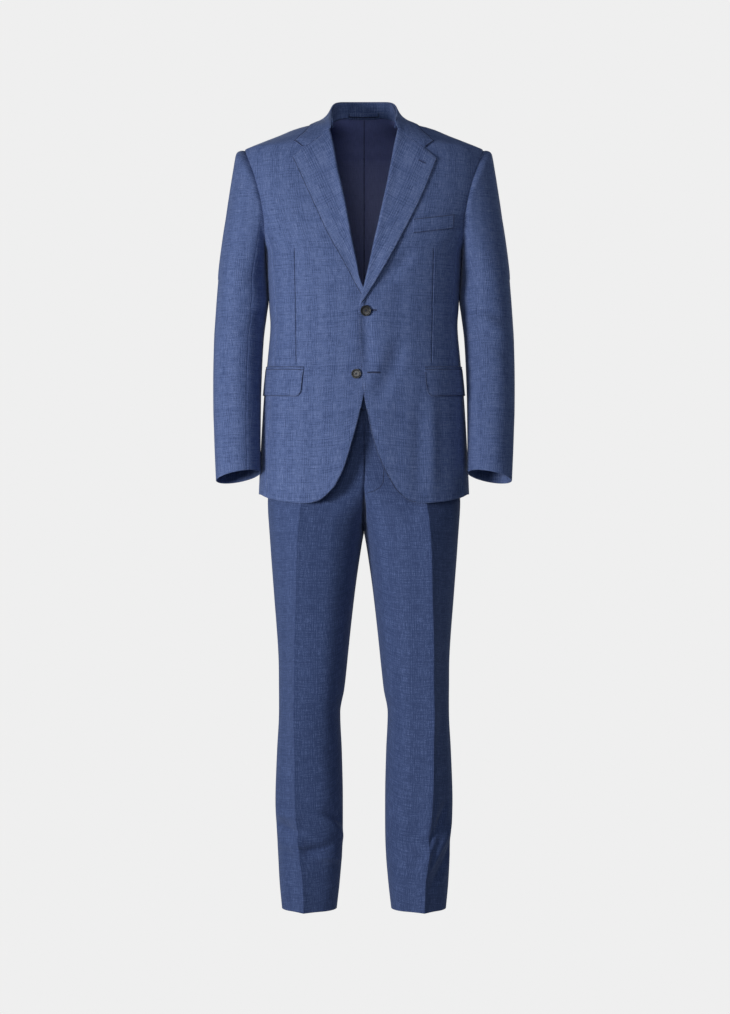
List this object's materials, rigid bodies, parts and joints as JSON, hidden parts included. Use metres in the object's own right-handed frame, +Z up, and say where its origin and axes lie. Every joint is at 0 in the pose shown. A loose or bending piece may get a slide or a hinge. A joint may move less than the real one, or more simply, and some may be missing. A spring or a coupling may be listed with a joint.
{
  "type": "two-piece suit",
  "caption": "Two-piece suit in its worn form: a notch-lapel jacket with flap pockets over straight flat-front trousers, in a fine blue worsted.",
  "frame": {"origin": "midway between the shoulders at the base of the neck, where the wearer carries the suit", "axes": "+Z up, the front faces -Y, the wearer's left is +X"},
  "size_m": [0.5672, 0.2846, 1.5341],
  "materials": {
    "suit_cloth": "matte",
    "lining_satin": "satin",
    "horn": "gloss"
  },
  "bodies": {
    "root": {"front_left": "suit_cloth", "front_right": "suit_cloth", "side_left": "suit_cloth", "side_right": "suit_cloth", "back_left": "suit_cloth", "back_right": "suit_cloth", "top_sleeve_left": "suit_cloth", "top_sleeve_right": "suit_cloth", "under_sleeve_left": "suit_cloth", "under_sleeve_right": "suit_cloth", "lapel_left": "suit_cloth", "lapel_right": "suit_cloth", "collar_leaf": "suit_cloth", "collar_stand": "suit_cloth", "breast_welt": "suit_cloth", "flap_left": "suit_cloth", "flap_right": "suit_cloth", "jet_left": "suit_cloth", "jet_right": "suit_cloth", "hanger_loop": "suit_cloth", "leg_front_left": "suit_cloth", "leg_front_right": "suit_cloth", "leg_back_left": "suit_cloth", "leg_back_right": "suit_cloth", "waistband_left": "suit_cloth", "waistband_right": "suit_cloth", "lining_left": "lining_satin", "lining_right": "lining_satin", "button_upper": "horn", "button_lower": "horn"}
  },
  "joints": []
}
